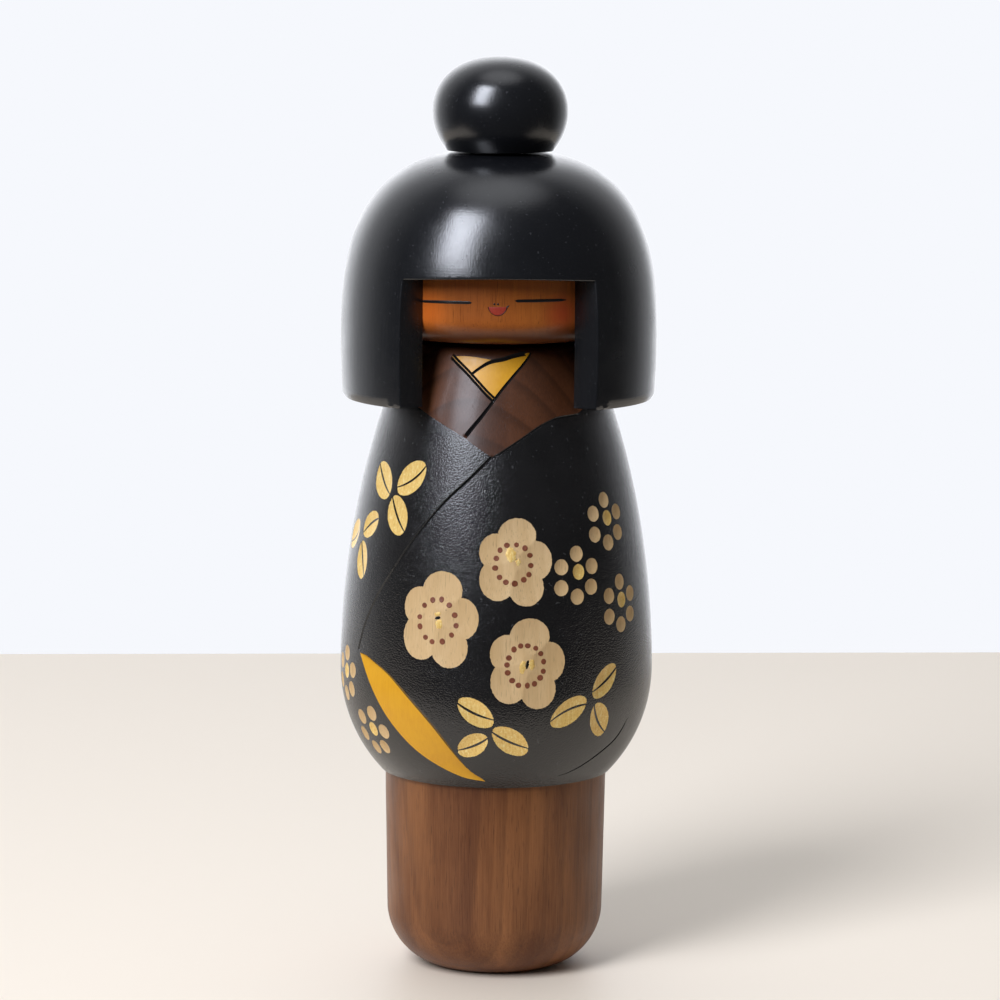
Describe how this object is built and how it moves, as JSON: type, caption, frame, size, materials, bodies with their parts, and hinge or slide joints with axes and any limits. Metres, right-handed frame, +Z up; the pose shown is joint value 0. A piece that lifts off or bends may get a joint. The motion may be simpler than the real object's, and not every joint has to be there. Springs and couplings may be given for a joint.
{
  "type": "kokeshi doll",
  "caption": "Turned wooden kokeshi doll: round lacquered kimono body on a bare foot, hair shell with a face window, bun on top, and a head that turns at the neck.",
  "frame": {"origin": "centre of the flat underside, on the axis that every piece is turned about", "axes": "+Z up along the turning axis, -Y is the doll's front, +X is to the right of someone who faces the doll"},
  "size_m": [0.0864, 0.0862, 0.2505],
  "materials": {
    "kimono_lacquer": "black lacquer with a fine pebbled grain, satin",
    "hair_lacquer": "smooth black lacquer, satin",
    "stained_wood": "walnut-brown stain under a thin varnish",
    "face_wood": "orange-brown varnish, satin",
    "petal_wood": "bare pale wood with fine grain",
    "leaf_gold": "dull gold paint",
    "lining_yellow": "yellow paint, satin",
    "ink": "black and red painted lines",
    "dowel_wood": "bare pale wood"
  },
  "bodies": {
    "root": {"body": "kimono_lacquer", "neck_dowel": "dowel_wood"},
    "head": {"face_block": "face_wood", "hair_shell": "hair_lacquer", "bun_dowel": "dowel_wood", "bun": "hair_lacquer"}
  },
  "joints": [
    {"name": "head_turn", "type": "hinge", "parent": "root", "child": "head", "pos_m": [0, 0, 0.175], "axis": [0, 0, 1], "continuous": true}
  ]
}
